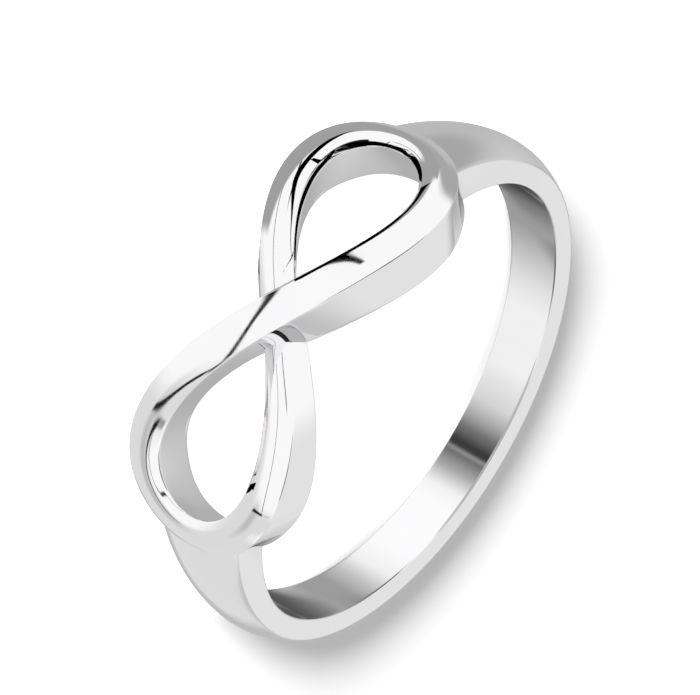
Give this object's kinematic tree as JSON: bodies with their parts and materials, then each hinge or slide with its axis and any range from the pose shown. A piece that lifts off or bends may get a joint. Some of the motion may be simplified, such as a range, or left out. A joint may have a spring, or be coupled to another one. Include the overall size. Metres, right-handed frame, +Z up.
{
  "type": "infinity ring",
  "caption": "Plain polished finger ring whose front is an open figure of eight, one strand passing over itself.",
  "frame": {"origin": "centre of the finger hole, on its axis", "axes": "the ring lies on its side as it rests by itself: +Z up, -Y from the finger's axis towards the middle of the figure of eight, X along the figure. The finger hole's axis is tilted 8.2 degrees from +Z about X, so that the figure's end is raised"},
  "size_m": [0.0198, 0.0205, 0.0068],
  "materials": {
    "silver": "high polish"
  },
  "bodies": {
    "root": {"ring": "silver"}
  },
  "joints": []
}
